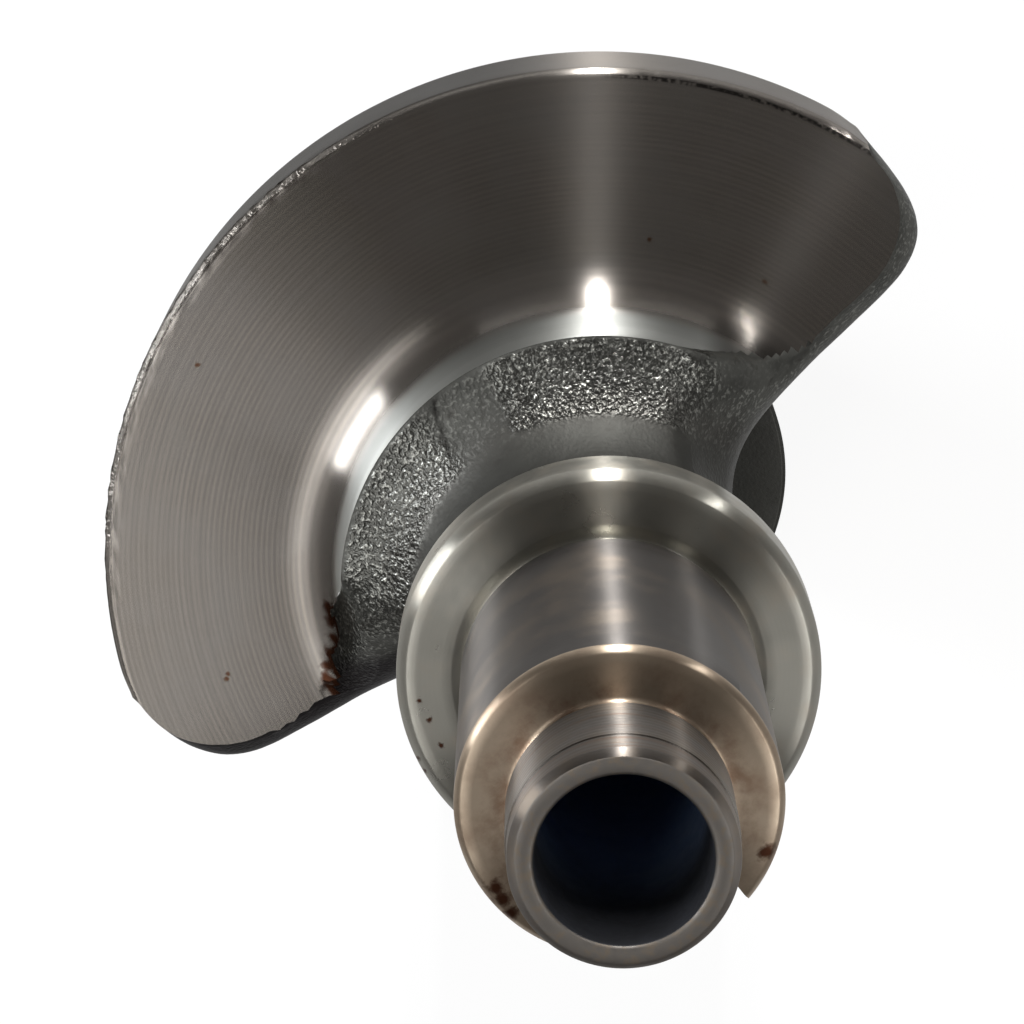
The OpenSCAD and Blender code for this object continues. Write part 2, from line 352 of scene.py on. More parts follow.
class Meridian:
    """Half section of a turned shape: its points, and the finish of each stretch between them."""

    def __init__(self, r, z):
        self.points = [(r, z)]
        self.finishes = []
        self.marks = {}

    def line(self, r, z, finish, steps=1):
        r0, z0 = self.points[-1]
        for i in range(1, steps + 1):
            part = i / steps
            self.points.append((r0 + (r - r0) * part, z0 + (z - z0) * part))
            self.finishes.append(finish)
        return self

    def arc(self, centre, r, z, finish, steps):
        r0, z0 = self.points[-1]
        start = math.atan2(z0 - centre[1], r0 - centre[0])
        turn = math.atan2(z - centre[1], r - centre[0]) - start
        turn = (turn + math.pi) % (2 * math.pi) - math.pi
        radius = math.hypot(r0 - centre[0], z0 - centre[1])
        for i in range(1, steps + 1):
            angle = start + turn * i / steps
            across, along = radius * math.cos(angle), radius * math.sin(angle)
            self.points.append((centre[0] + across, centre[1] + along))
            self.finishes.append(finish)
        return self

    def ridges(self, z, pitch, depth, finish):
        """Feed ridges of a turning tool, from the last point down to z."""
        r, z0 = self.points[-1]
        count = max(1, round((z0 - z) / pitch))
        step = (z0 - z) / count
        for i in range(count):
            top = z0 - i * step
            for along, deep in RIDGE:
                self.line(r - deep * depth, top - along * step, finish)
        return self

    def mark(self, name):
        self.marks[name] = self.points[-1]
        return self

    def softened(self, edge):
        """The points as an array, with each corner broken, and the finish of each strip."""
        points = [np.array(p) for p in self.points]
        rows = [points[0]]
        finishes = []
        for i in range(1, len(points) - 1):
            before = points[i] - points[i - 1]
            after = points[i + 1] - points[i]
            room_before, room_after = np.linalg.norm(before), np.linalg.norm(after)
            cosine = before @ after / (room_before * room_after)
            turn = math.acos(max(-1.0, min(1.0, cosine)))
            finish = self.finishes[i - 1]
            if turn < SOFT_TURN:
                rows.append(points[i])
                finishes.append(finish)
                continue
            cut = min(edge, BREAK_SHARE * room_before, BREAK_SHARE * room_after)
            start = points[i] - before * cut / room_before
            end = points[i] + after * cut / room_after
            steps = 2 if turn > SHARP_TURN else 1
            for k in range(steps + 1):
                part = k / steps
                bend = (1 - part) * ((1 - part) * start + part * points[i])
                bend = bend + part * ((1 - part) * points[i] + part * end)
                rows.append(bend)
                finishes.append(finish)
        rows.append(points[-1])
        finishes.append(self.finishes[-1])
        return np.array(rows), finishes

    def row_of(self, rows, name):
        """Row of a marked point in the softened outline."""
        return int(np.argmin(np.linalg.norm(rows - np.array(self.marks[name]), axis=1)))


def heights(turned, forged):
    """Heights over the rear end, and half heights of the counterweight over its middle."""
    h = SimpleNamespace()
    h.front = CAD_BOX[1].z
    h.shoulder = h.front - turned.spigot_len
    h.seat = mount_height("front_collar_face")
    h.collar = h.seat - turned.collar_w
    h.rear_collar = mount_height("rear_collar_face")
    h.rear_neck = h.rear_collar + turned.rear_collar_w
    h.face = forged.web_w / 2
    h.boss = h.face + forged.boss_h
    h.flare = h.boss + forged.boss_r - forged.neck_r
    h.web = h.rear_neck + forged.rear_neck_len + h.flare
    h.key_end = h.shoulder - turned.key_len + turned.key_w / 2
    return h


def front_outline(t, f, h):
    """From the front drilling's floor, over the spigot, seat and collar, to the start of the flare."""
    slope = math.tan(DRILL_HALF_ANGLE)
    floor = h.front - t.bore_depth
    lead_r = t.spigot_r - t.lead_drop
    groove_r = t.spigot_r - t.relief_depth
    seat_groove_r = t.seat_r - t.relief_depth
    key_floor_r = math.hypot(t.seat_r - t.key_depth, t.key_w / 2)
    below_key = h.key_end - t.key_w / 2 - t.relief_w / 2
    path = Meridian(t.pilot_r, floor - t.pilot_len)
    path.line(t.pilot_r, floor - (t.bore_r - t.pilot_r) / slope, BORE, 2)
    path.line(t.bore_r, floor, BORE)
    path.line(t.bore_r, h.front - t.bore_chamfer, BORE, 7)
    path.line(t.bore_r + t.bore_chamfer, h.front, LIP)
    path.line(lead_r - t.spigot_chamfer, h.front, LIP, 2)
    path.line(lead_r, h.front - t.spigot_chamfer, SPIGOT)
    path.ridges(h.front - t.lead_len, t.ridge_pitch, t.ridge_depth / 2, SPIGOT)
    path.line(t.spigot_r, h.front - t.lead_len, SPIGOT)
    path.ridges(h.shoulder + t.relief_w, t.ridge_pitch, t.ridge_depth, SPIGOT)
    path.line(groove_r, h.shoulder + t.relief_w - t.relief_depth, SPIGOT)
    path.line(groove_r, h.shoulder + t.relief_depth, SPIGOT)
    hollow = groove_r + t.relief_depth, h.shoulder + t.relief_depth
    path.arc(hollow, hollow[0], h.shoulder, SHOULDER, 3)
    path.line(key_floor_r, h.shoulder, SHOULDER).mark("key_floor")
    path.line(t.seat_r - t.seat_chamfer, h.shoulder, SHOULDER, 3)
    path.line(t.seat_r, h.shoulder - t.seat_chamfer, SHOULDER)
    path.line(t.seat_r, h.key_end, GROUND, 5).mark("key_end")
    path.line(t.seat_r, below_key, GROUND)
    path.line(t.seat_r, h.seat + t.relief_w, GROUND, 5)
    path.line(seat_groove_r, h.seat + t.relief_w - t.relief_depth, GROUND)
    path.line(seat_groove_r, h.seat - t.relief_face, COLLAR)
    path.line(t.seat_r, h.seat - t.relief_face, COLLAR)
    path.line(t.seat_r + t.relief_rise, h.seat, COLLAR)
    path.line(t.collar_r - t.collar_chamfer, h.seat, COLLAR, 4)
    path.line(t.collar_r, h.seat - t.collar_chamfer, COLLAR)
    path.line(t.collar_r, h.collar + t.collar_back_chamfer, COLLAR, 3)
    path.line(t.collar_r - t.collar_back_chamfer, h.collar, COLLAR)
    path.line(f.neck_r, h.collar, COLLAR, 3).mark("neck")
    path.line(f.neck_r, h.web + h.flare, FORGED, 16)
    return path


def counterweight_outline(f, h):
    """Over the flare, boss, fillet, face and rim of the counterweight, and down its rear side."""

    def at(r, height):
        return r, h.web + height

    fillet_r = f.boss_r + f.boss_fillet
    fillet_h = h.face + f.boss_fillet
    edge_r = f.rim_r - f.rim_chamfer
    band = 3 * f.rim_chamfer
    path = Meridian(*at(f.neck_r, h.flare))
    path.arc(at(f.boss_r, h.flare), *at(f.boss_r, h.boss), FORGED, 30).mark("boss")
    path.line(*at(f.boss_r, fillet_h), TURNED, 3)
    path.arc(at(fillet_r, fillet_h), *at(fillet_r, h.face), TURNED, 12)
    path.line(*at(edge_r - band, h.face), TURNED, 18)
    path.line(*at(edge_r, h.face), TURNED, 4).mark("edge")
    path.line(*at(f.rim_r, h.face - f.rim_chamfer), TURNED)
    path.line(*at(f.rim_r, f.rim_chamfer - h.face), TURNED, 9)
    path.line(*at(edge_r, -h.face), TURNED)
    path.line(*at(fillet_r, -h.face), TURNED, 14)
    path.arc(at(fillet_r, -fillet_h), *at(f.boss_r, -fillet_h), TURNED, 10)
    path.line(*at(f.boss_r, -h.boss), TURNED, 2).mark("rear_boss")
    path.arc(at(f.boss_r, -h.flare), *at(f.neck_r, -h.flare), FORGED, 22)
    return path


def rear_outline(t, f, h):
    """From the end of the flare, over the rear collar and journal, to the lathe centre's drilling."""
    groove_r = t.rear_r - t.relief_depth
    cone_z = (t.centre_r - t.centre_drill_r) / math.tan(CENTRE_HALF_ANGLE)
    path = Meridian(f.neck_r, h.web - h.flare)
    path.line(f.neck_r, h.rear_neck, FORGED, 4).mark("neck")
    path.line(t.rear_collar_r - t.collar_back_chamfer, h.rear_neck, FORGED, 3)
    path.line(t.rear_collar_r, h.rear_neck - t.collar_back_chamfer, FORGED)
    path.line(t.rear_collar_r, h.rear_collar + t.collar_chamfer, COLLAR, 3)
    path.line(t.rear_collar_r - t.collar_chamfer, h.rear_collar, COLLAR)
    path.line(t.rear_r + t.relief_rise, h.rear_collar, COLLAR, 2)
    path.line(t.rear_r, h.rear_collar + t.relief_face, COLLAR)
    path.line(groove_r, h.rear_collar + t.relief_face, COLLAR)
    path.line(groove_r, h.rear_collar - t.relief_w + t.relief_depth, COLLAR)
    path.line(t.rear_r, h.rear_collar - t.relief_w, GROUND)
    path.line(t.rear_r, t.rear_chamfer, GROUND, 6)
    path.line(t.rear_r - t.rear_chamfer, 0, TURNED)
    path.line(t.centre_r, 0, TURNED, 4)
    path.line(t.centre_drill_r, cone_z, TURNED, 2)
    path.line(t.centre_drill_r, cone_z + t.centre_drill_len, BORE)
    return path


class Flank:
    """Forged side of the counterweight, as an angle from its middle for each radius and height."""

    def __init__(self, f, h, side):
        self.f = f
        self.h = h
        self.slope = math.pi / 2 - f.flat_angle
        self.stand = f.flat_offset + side * f.flat_lean / 2
        self.corner_r = f.corner_r - side * f.corner_lean
        part = np.linspace(0, 1, OUTLINE_STEPS)
        self.table_r = f.neck_r + (f.rim_r - f.neck_r) * part**2
        angle = self.half_angle(self.table_r, 0 * self.table_r)
        across = np.stack([self.table_r * np.sin(angle), self.table_r * np.cos(angle)], -1)
        steps = np.linalg.norm(np.diff(across, axis=0), axis=1)
        self.table_run = np.concatenate([[0], np.cumsum(steps)])

    def run(self, r):
        """Length along the outline from the neck to a radius."""
        return np.interp(r, self.table_r, self.table_run)

    def radius(self, run):
        """Radius at a length along the outline."""
        return np.interp(run, self.table_run, self.table_r)

    def offset(self, r, height):
        """How far past the axis the flat stands, with its rounding towards both faces."""
        f = self.f
        part = ramp(r, f.boss_r, f.boss_r + f.boss_fillet)
        part = part * part * (3 - 2 * part)
        round_r = f.hub_round + (f.web_round - f.hub_round) * part
        drop = np.minimum(np.abs(height), self.h.boss)
        return self.stand - round_r + np.sqrt(np.maximum(round_r**2 - drop**2, 0))

    def end(self, height):
        """Distance of the forged end from the middle, with its rounded edges."""
        f = self.f
        over = np.maximum(np.abs(height) - (self.h.face - f.end_inset), 0)
        return f.cheek - f.end_round + np.sqrt(np.maximum(f.end_round**2 - over**2, 0))

    def half_angle(self, r, height):
        """Angle of the hollow, the flat, the corner or the end, whichever is at this radius."""
        f = self.f
        past = self.offset(r, height)
        flat = np.arccos(np.clip(-past / r, -1, 1)) - self.slope
        hollow_d = f.neck_r + f.root_r
        hollow_in = past + f.root_r
        middle = math.pi / 2 - self.slope + np.arcsin(np.clip(hollow_in / hollow_d, -1, 1))
        cosine = (r**2 + hollow_d**2 - f.root_r**2) / (2 * r * hollow_d)
        hollow = middle - np.arccos(np.clip(cosine, -1, 1))
        hollow_out = np.sqrt(np.maximum(hollow_d**2 - hollow_in**2, 0))
        angle = np.where(r < np.hypot(hollow_out, past), hollow, flat)
        end_x = self.end(height)
        corner_r = self.corner_r + f.corner_rise * np.clip(height / self.h.face, -1, 1) ** 2
        corner_x = end_x - corner_r
        reach = corner_r - past
        corner_y = (corner_x * math.sin(self.slope) + reach) / math.cos(self.slope)
        corner_d = np.hypot(corner_x, corner_y)
        cosine = (r**2 + corner_d**2 - corner_r**2) / (2 * r * corner_d)
        corner = np.arctan2(corner_x, corner_y) + np.arccos(np.clip(cosine, -1, 1))
        foot_x = corner_x + corner_r * math.sin(self.slope)
        foot_y = corner_y - corner_r * math.cos(self.slope)
        angle = np.where(r > np.hypot(foot_x, foot_y), corner, angle)
        end = np.arcsin(np.clip(end_x / r, -1, 1))
        return np.where(r > np.hypot(end_x, corner_y), end, angle)


class Skin:
    """Points and faces of one closed surface, with their finishes and relief."""

    RELIEF = ("forged", "grain", "rounding", "seam")

    def __init__(self):
        self.points = np.zeros((0, 3))
        self.relief = {name: np.zeros(0) for name in self.RELIEF}
        self.faces = []
        self.finishes = []

    def add(self, points, **relief):
        """Adds points of any grid shape, and returns their numbers in the same shape."""
        shape = points.shape[:-1]
        count = int(np.prod(shape))
        numbers = np.arange(count).reshape(shape) + len(self.points)
        self.points = np.concatenate([self.points, points.reshape(-1, 3)])
        for name in self.RELIEF:
            values = np.broadcast_to(relief.get(name, 0.0), shape).ravel()
            self.relief[name] = np.concatenate([self.relief[name], values])
        return numbers

    def face(self, corners, finish):
        self.faces.append([int(c) for c in corners])
        self.finishes.append(finish)

    def strip(self, first, second, finish, skip=()):
        """Quads between two rows of the same length."""
        for j in range(len(first) - 1):
            if j not in skip:
                self.face((first[j], first[j + 1], second[j + 1], second[j]), finish)

    def fan(self, point, row, finish):
        for j in range(len(row) - 1):
            self.face((point, row[j], row[j + 1]), finish)


def wander(count, seed, smooth):
    """A fixed run of random numbers from -1 to 1, smoothed over a few neighbours."""
    raw = np.random.default_rng(seed).uniform(-1, 1, count + 2 * smooth)
    kernel = np.ones(2 * smooth + 1) / (2 * smooth + 1)
    run = np.convolve(raw, kernel, "valid")
    return run / np.abs(run).max()


def spun(r, z, angle):
    """Points at a radius, height and angle from the middle of the counterweight."""
    return np.stack(np.broadcast_arrays(r * np.sin(angle), r * np.cos(angle), z), -1)


def open_angles(t, r, neck_angle, keyed):
    """Angles of the columns on the open side, with one column on each edge of the keyway."""
    columns = np.arange(-OPEN_COLUMNS, OPEN_COLUMNS + 1)
    reach = math.pi - neck_angle
    if not keyed:
        return math.pi + reach * columns / OPEN_COLUMNS
    half = t.key_w / 2
    edge = math.asin(half / r)
    inner = np.arcsin(half * np.clip(columns / KEY_COLUMNS, -1, 1) / r)
    outer = (reach - edge) * np.maximum(np.abs(columns) - KEY_COLUMNS, 0) / (OPEN_COLUMNS - KEY_COLUMNS)
    return math.pi + inner + np.sign(columns) * outer


def ring_rows(skin, rows, t, neck_angle, is_forged, grain, key=None):
    """Full rings of the shaft, each from the left edge of the counterweight's sector and back to it."""
    sector = np.linspace(-neck_angle, neck_angle, 2 * SECTOR_COLUMNS + 1)
    rings = []
    for i, (r, z) in enumerate(rows):
        keyed = key is not None and key.first <= i <= key.last
        angles = np.concatenate([sector, open_angles(t, r, neck_angle, keyed)[1:-1]])
        points = spun(np.full(len(angles), r), np.full(len(angles), z), angles)
        if keyed:
            slot = key.columns
            half = t.key_w / 2
            if i == key.first:
                points[slot, 1] = t.key_depth - t.seat_r
                points[slot, 0] = -half * np.linspace(-1, 1, len(slot))
            if i == key.last:
                points[slot, 2] = z - np.sqrt(np.maximum(half**2 - points[slot, 0] ** 2, 0))
        forged = float(is_forged(i))
        numbers = skin.add(points, forged=forged, grain=grain * forged, rounding=NECK_ROUNDING * forged)
        rings.append(np.append(numbers, numbers[0]))
    return rings


def join_rings(skin, rings, finishes, key=None):
    """Strips between the rings, open where the keyway is."""
    for i, finish in enumerate(finishes):
        keyed = key is not None and key.first <= i < key.last
        skin.strip(rings[i], rings[i + 1], finish, key.gaps if keyed else ())


def keyway(skin, rings, rows, t, h, key):
    """Floor, sides and round end of the keyway, between the columns that the rings leave open."""
    slot = key.columns
    floor_y = t.key_depth - t.seat_r
    first = next(i for i in range(key.first, key.last) if rows[i][1] <= h.shoulder - t.seat_chamfer)
    surface = [rings[i][slot] for i in range(first, key.last + 1)]
    floor = [rings[key.first][slot]]
    for row in surface:
        points = skin.points[row].copy()
        points[:, 0] = skin.points[floor[0]][:, 0]
        points[:, 1] = floor_y
        floor.append(skin.add(points))
    for upper, lower in zip(floor, floor[1:]):
        skin.strip(upper, lower, GROUND)
    skin.strip(floor[-1], surface[-1], GROUND)
    for side in (0, -1):
        mouth = [rings[i][slot[side]] for i in range(key.first, first + 1)]
        skin.face([*mouth, floor[1][side]], GROUND)
        for k in range(len(surface) - 1):
            corners = surface[k][side], surface[k + 1][side], floor[k + 2][side], floor[k + 1][side]
            skin.face(corners, GROUND)


def inside(polygon, points):
    """Which points lie in a polygon, by counting the edges to one side of each."""
    crossed = np.zeros(len(points), bool)
    ends = np.roll(polygon, -1, axis=0)
    for (x0, y0), (x1, y1) in zip(polygon, ends):
        spans = (y0 > points[:, 1]) != (y1 > points[:, 1])
        rise = y1 - y0 if y1 != y0 else 1e-12
        crossed ^= spans & (points[:, 0] < x0 + (x1 - x0) * (points[:, 1] - y0) / rise)
    return crossed


def flank_patch(skin, flank, edge, hub, side, f, h):
    """Fills one forged side between the edge of the turned sector and the open side of the neck."""
    loop = [*edge, *hub[-2:0:-1]]
    places = skin.points[loop]
    outline = np.stack([flank.run(np.hypot(places[:, 0], places[:, 1])), places[:, 2] - h.web], -1)
    across = np.arange(CLEAR_SHARE * f.patch, flank.table_run[-1], f.patch)
    up = np.arange(-h.flare, h.flare, f.patch * math.sqrt(0.75))
    lattice = np.array([(x + f.patch / 2 * (k % 2), y) for k, y in enumerate(up) for x in across])
    lattice = lattice[inside(outline, lattice)]
    apart = np.min(np.linalg.norm(lattice[:, None] - outline[None], axis=2), axis=1)
    lattice = lattice[apart > CLEAR_SHARE * f.patch]
    r = flank.radius(lattice[:, 0])
    angle = side * flank.half_angle(r, lattice[:, 1])
    near_hub = np.maximum(ramp(r, f.boss_r + f.boss_fillet, f.boss_r), LEAST_ROUNDING)
    points = spun(r, h.web + lattice[:, 1], angle)
    numbers = [*loop, *skin.add(points, forged=1.0, grain=FLANK_GRAIN, rounding=near_hub)]
    flat = [Vector(p) for p in np.concatenate([outline, lattice]) / MM]
    made = delaunay_2d_cdt(flat, [], [list(range(len(loop)))], 1, 1e-7)
    source = [ids[0] for ids in made[3]]
    for corners in made[2]:
        skin.face([numbers[source[c]] for c in corners], FORGED)


def edge_wander(rows, f, h, side):
    """How far the turned edge wanders at each row of the counterweight, on one side."""
    run = wander(len(rows), EDGE_SEED + side, 1) * f.wobble
    if side < 0:
        away = (rows[:, 0] - f.boss_r) / MM
        torn = (rows[:, 1] > h.web) & (away > TEAR_FROM_MM) & (away < TEAR_TO_MM)
        run = run + np.where(torn, wander(len(rows), TEAR_SEED, 1) * f.jag, 0)
    return run


def bare_skin(angles, rows, f, h):
    """How much forged skin is left on the boss and its fillet, where the forging lies below the cut."""
    over = (np.abs(rows[:, 1] - h.web) - h.face)[:, None] / MM
    degrees = np.degrees(angles)
    left = degrees < 0
    torn = over + SKIN_TEAR_MM * wander(angles.shape[1], SKIN_SEED, 1) * left
    edge = np.where(left, np.interp(torn, *LEFT_SKIN), np.interp(over, *RIGHT_SKIN))
    reach = np.where(left, LEFT_SKIN_WANDER, RIGHT_SKIN_WANDER)
    edge = edge + reach * wander(angles.shape[0], SKIN_ROW_SEED, 1)[:, None]
    cut = (over > SKIN_CLEAR_MM) & (rows[:, :1] < f.boss_r + f.boss_fillet)
    return np.where(cut, ramp(np.abs(degrees), edge, edge + SKIN_FADE), 0.0)


def chip_rim(points, angles, rows, f, h):
    """Chatter and chips along the front edge of the rim: many on the left, and a few on the right."""
    corner = np.array([f.rim_r - f.rim_chamfer / 2, h.web + h.face - f.rim_chamfer / 2])
    near = np.exp(-((np.linalg.norm(rows - corner, axis=1) / (CHIP_REACH_MM * MM)) ** 2))
    degrees = np.degrees(angles)
    rng = np.random.default_rng(CHIP_SEED)
    rough = rng.uniform(*CHIP_RANGE, points.shape[:2])
    left = ramp(degrees, *LEFT_CHIPS_START) * ramp(degrees, *LEFT_CHIPS_END)
    few = rng.uniform(0, 1, points.shape[1]) > 1 - RIGHT_CHIP_SHARE
    right = ramp(degrees, *RIGHT_CHIPS_START) * few * RIGHT_CHIP_DEPTH
    depth = f.chip * near[:, None] * rough * np.maximum(left, right)
    radial = points[..., :2] / np.linalg.norm(points[..., :2], axis=-1, keepdims=True)
    points[..., :2] -= radial * depth[..., None]
    points[..., 2] -= depth
    return points


def parting_line(angles, rows, f, h):
    """Where the parting line shows: a skewed line on the front of the flare, worn away on the neck."""
    r = rows[:, :1]
    on_flare = (rows[:, 1:] > h.web + h.boss) & (r > f.neck_r + SEAM_WORN_MM * MM)
    middle = SEAM_FOOT - SEAM_SKEW * (f.boss_r - r) / MM
    middle = middle + SEAM_WANDER * wander(len(rows), SEAM_SEED, 1)[:, None]
    return on_flare * np.exp(-((np.degrees(angles) - middle) / SEAM_WIDTH) ** 2)


def rim_end(reach, angles, rows, f):
    """How far the rim falls away where it runs out into a forged end."""
    away = (reach - np.abs(angles)) * rows[:, :1]
    on_rim = ramp(rows[:, :1], f.rim_r - END_START_MM * MM, f.rim_r - END_WHOLE_MM * MM)
    return f.end_fall * on_rim * np.exp(-((away / (END_REACH_MM * MM)) ** 2))


def grain_depth(angles, rows, f, h):
    """How coarse the skin of the flare is: coarse in two patches, finer between them and on the neck."""
    degrees = np.degrees(angles)
    height = np.abs(rows[:, 1] - h.web)[:, None]
    top = f.grain_top + h.boss
    low = np.maximum(ramp(height, top, top - GRAIN_FADE_MM * MM), LEAST_GRAIN)
    right = RIGHT_PATCH_GRAIN * ramp(degrees, *RIGHT_PATCH_START) * ramp(degrees, *RIGHT_PATCH_END)
    left = LEFT_PATCH_GRAIN * ramp(degrees, *LEFT_PATCH_START)
    base = FLARE_GRAIN - FLARE_END_LOSS * ramp(degrees, *FLARE_END)
    return low * np.clip(base + right + left, 0, 1)


def forging_mesh(settings):
    """The whole forging as one closed mesh, before its relief."""
    t, f = settings.turned, settings.forged
    h = heights(t, f)
    right_flank, left_flank = Flank(f, h, 1), Flank(f, h, -1)
    neck_angle = float(right_flank.half_angle(f.neck_r, h.flare))
    skin = Skin()

    # Front end, with the keyway
    path = front_outline(t, f, h)
    rows, finishes = path.softened(t.edge)
    wide = 2 * SECTOR_COLUMNS
    middle = wide + OPEN_COLUMNS
    key = SimpleNamespace(
        first=path.row_of(rows, "key_floor"),
        last=path.row_of(rows, "key_end"),
        columns=np.arange(middle - KEY_COLUMNS, middle + KEY_COLUMNS + 1),
        gaps=range(middle - KEY_COLUMNS, middle + KEY_COLUMNS),
    )
    neck_row = path.row_of(rows, "neck")
    front = ring_rows(skin, rows, t, neck_angle, lambda i: i > neck_row, FRONT_NECK_GRAIN, key)
    join_rings(skin, front, finishes, key)
    keyway(skin, front, rows, t, h, key)
    tip = rows[0][1] - t.pilot_r / math.tan(DRILL_HALF_ANGLE)
    skin.fan(skin.add(np.array([[0, 0, tip]]))[0], front[0], BORE)

    # Rear end, with its lathe centre
    path = rear_outline(t, f, h)
    rows, finishes = path.softened(t.edge)
    neck_row = path.row_of(rows, "neck")
    rear = ring_rows(skin, rows, t, neck_angle, lambda i: i < neck_row, REAR_NECK_GRAIN)
    join_rings(skin, rear, finishes)
    tip = rows[-1][1] + t.centre_drill_r / math.tan(DRILL_HALF_ANGLE)
    skin.fan(skin.add(np.array([[0, 0, tip]]))[0], rear[-1][::-1], BORE)

    # Counterweight between the two ends
    path = counterweight_outline(f, h)
    rows, finishes = path.softened(t.edge)
    boss_row, rear_boss_row = path.row_of(rows, "boss"), path.row_of(rows, "rear_boss")
    right_limit = right_flank.half_angle(rows[:, 0], rows[:, 1] - h.web)
    left_limit = left_flank.half_angle(rows[:, 0], rows[:, 1] - h.web)
    turned_rows = (np.arange(len(rows)) >= boss_row) & (np.arange(len(rows)) <= rear_boss_row)
    wandering = turned_rows / rows[:, 0]
    columns = np.linspace(-1, 1, wide + 1)
    reach = np.where(
        columns < 0,
        (left_limit + edge_wander(rows, f, h, -1) * wandering)[:, None],
        (right_limit + edge_wander(rows, f, h, 1) * wandering)[:, None],
    )
    angles = reach * columns
    seam = parting_line(angles, rows, f, h)
    r = rows[:, :1] - f.seam * seam - rim_end(reach, angles, rows, f)
    points = chip_rim(spun(r, rows[:, 1:], angles), angles, rows, f, h)
    skinned = np.where(turned_rows[:, None], bare_skin(angles, rows, f, h), 1.0)
    grain = skinned * grain_depth(angles, rows, f, h)
    rounding = skinned * np.where(turned_rows[:, None], 1.0, FLARE_ROUNDING)
    relief = {"forged": skinned, "grain": grain, "rounding": rounding, "seam": seam}
    grid = skin.add(points[1:-1], **{name: values[1:-1] for name, values in relief.items()})
    grid = np.concatenate([front[-1][None, : wide + 1], grid, rear[0][None, : wide + 1]])
    bare = skinned > 0
    for i, finish in enumerate(finishes):
        skin.strip(grid[i], grid[i + 1], finish)
        for j in range(wide):
            corners = bare[i : i + 2, j : j + 2]
            if corners.all() or (corners.any() and j >= SECTOR_COLUMNS):
                skin.finishes[j - wide] = FORGED

    # Open side of the neck, and the two forged flanks
    levels = np.linspace(h.web + h.flare, h.web - h.flare, OPEN_ROWS)
    neck = np.full(len(levels), f.neck_r)
    start = right_flank.half_angle(neck, levels - h.web)[:, None]
    stop = 2 * math.pi - left_flank.half_angle(neck, levels - h.web)[:, None]
    sweep = start + (stop - start) * np.linspace(0, 1, 2 * OPEN_COLUMNS + 1)
    points = spun(np.full_like(sweep, f.neck_r), levels[:, None] + 0 * sweep, sweep)
    side = skin.add(points[1:-1], forged=1.0, grain=OPEN_SIDE_GRAIN, rounding=NECK_ROUNDING)
    side = np.concatenate([front[-1][None, wide:], side, rear[0][None, wide:]])
    for upper, lower in zip(side, side[1:]):
        skin.strip(upper, lower, FORGED)
    flank_patch(skin, right_flank, grid[:, -1], side[:, 0], 1, f, h)
    flank_patch(skin, left_flank, grid[:, 0], side[:, -1], -1, f, h)
    return skin


def plain_mesh(skin):
    """A Blender mesh of the skin, with its faces turned outwards and its attributes named."""
    mesh = bpy.data.meshes.new(PIECE)
    mesh.from_pydata(skin.points.tolist(), [], skin.faces)
    mesh.attributes.new("finish", "INT", "FACE").data.foreach_set("value", skin.finishes)
    for name, values in skin.relief.items():
        mesh.attributes.new(name, "FLOAT", "POINT").data.foreach_set("value", values)
    work = bmesh.new()
    work.from_mesh(mesh)
    open_edges = sum(1 for e in work.edges if len(e.link_faces) != 2)
    if open_edges:
        raise RuntimeError(f"the shaft's surface has {open_edges} open edges")
    bmesh.ops.recalc_face_normals(work, faces=work.faces)
    work.to_mesh(mesh)
    work.free()
    mesh.shade_smooth()
    return mesh


# Node trees


class Tree:
    """Short calls for building a node tree."""

    def __init__(self, tree):
        self.tree = tree
        tree.nodes.clear()

    def node(self, kind, settings=None, **inputs):
        made = self.tree.nodes.new(kind)
        for name, value in (settings or {}).items():
            setattr(made, name, value)
        for name, value in inputs.items():
            self.put(made, name.replace("_", " "), value)
        return made

    def put(self, node, name, value):
        """Sets or links an input, by its number or by the name it has in Blender."""
        if isinstance(name, int):
            socket = node.inputs[name]
        else:
            socket = next(s for s in node.inputs if s.enabled and s.name.lower() == name.lower())
        if isinstance(value, bpy.types.NodeSocket):
            self.tree.links.new(value, socket)
        elif isinstance(value, bpy.types.Node):
            self.tree.links.new(self.out(value), socket)
        else:
            socket.default_value = value

    def out(self, node):
        """The first output that a node has in use."""
        return next(s for s in node.outputs if s.enabled)

    def math(self, operation, first, second=0.0, third=0.0):
        made = self.node("ShaderNodeMath", {"operation": operation})
        for number, value in enumerate((first, second, third)):
            self.put(made, number, value)
        return made.outputs[0]

    def times(self, first, second):
        return self.math("MULTIPLY", first, second)

    def vector(self, operation, first, second=(0.0, 0.0, 0.0)):
        made = self.node("ShaderNodeVectorMath", {"operation": operation})
        self.put(made, 0, first)
        self.put(made, 1, second)
        scalar = operation in ("LENGTH", "DISTANCE", "DOT_PRODUCT")
        return made.outputs["Value" if scalar else "Vector"]


# Inputs of the forged skin tree, each with its kind and the setting that it takes
SKIN_INPUTS = {
    "Rounding": ("NodeSocketInt", "rounding"),
    "Swell size": ("NodeSocketFloat", "swell_size"),
    "Swell depth": ("NodeSocketFloat", "swell_depth"),
    "Grain size": ("NodeSocketFloat", "grain_size"),
    "Grain depth": ("NodeSocketFloat", "grain_depth"),
    "Seed": ("NodeSocketFloat", "seed"),
}
SWELL_DETAIL = 1.0
GRAIN_DETAIL = 2.0
RELIEF_ROUGHNESS = 0.6


